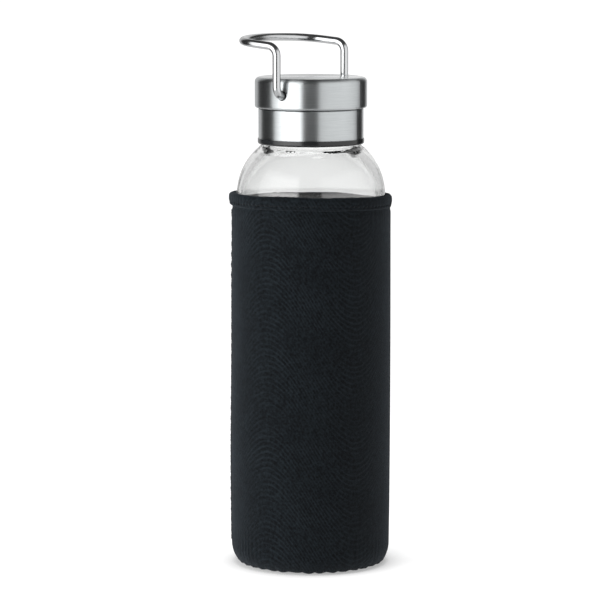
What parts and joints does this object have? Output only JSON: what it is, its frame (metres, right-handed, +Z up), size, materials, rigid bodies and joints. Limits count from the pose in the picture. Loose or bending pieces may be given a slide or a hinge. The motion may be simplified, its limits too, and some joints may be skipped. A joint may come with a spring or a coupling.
{
  "type": "glass water bottle",
  "caption": "Clear glass water bottle with a stainless screw lid, a folding wire carry handle and a black neoprene sleeve that pulls off.",
  "frame": {"origin": "centre of the sleeve's base, on the surface the bottle stands on", "axes": "+Z up along the bottle's axis; the handle's pivots lie on Y and its loop stands over -X"},
  "size_m": [0.0722, 0.0722, 0.2354],
  "materials": {
    "clear_glass": "clear, fire polished",
    "brushed_steel": "brushed round the axis",
    "polished_wire": "polished stainless wire",
    "black_plastic": "glossy moulded polypropylene",
    "inner_plastic": "moulded polypropylene",
    "silicone": "translucent white silicone",
    "neoprene": "knit-faced foam, black",
    "neoprene_hem": "folded knit-faced foam, black",
    "sewing_thread": "black polyester thread"
  },
  "bodies": {
    "sleeve": {"sleeve_body": "neoprene", "sleeve_base": "neoprene", "sleeve_hem": "neoprene_hem", "sleeve_side_seam": "sewing_thread", "hem_stitching": "sewing_thread", "base_seam_stitching": "sewing_thread"},
    "bottle": {"glass_bottle": "clear_glass"},
    "seal": {"lid_seal_ring": "silicone"},
    "lid": {"lid_top_shell": "brushed_steel", "lid_lower_band": "brushed_steel", "lid_thread_liner": "black_plastic", "lid_core": "inner_plastic", "pivot_bush_front": "black_plastic", "pivot_bush_rear": "black_plastic"},
    "handle": {"handle_bail": "polished_wire"}
  },
  "joints": [
    {"name": "sleeve_pull_off", "type": "slide", "parent": "sleeve", "child": "bottle", "axis": [0, 0, 1], "range_m": [0, 0.17]},
    {"name": "lid_rise", "type": "slide", "parent": "bottle", "child": "seal", "axis": [0, 0, 1], "range_m": [0, 0.0151]},
    {"name": "lid_turn", "type": "hinge", "parent": "seal", "child": "lid", "pos_m": [0, 0, 0.2], "axis": [0, 0, 1], "range_deg": [0, 1080]},
    {"name": "handle_swing", "type": "hinge", "parent": "lid", "child": "handle", "pos_m": [0, 0, 0.2097], "axis": [0, 1, 0], "range_deg": [-84, 178]}
  ],
  "couplings": [
    {"joint": "lid_rise", "follows": "lid_turn", "m_per_rad": 0.00079577}
  ]
}
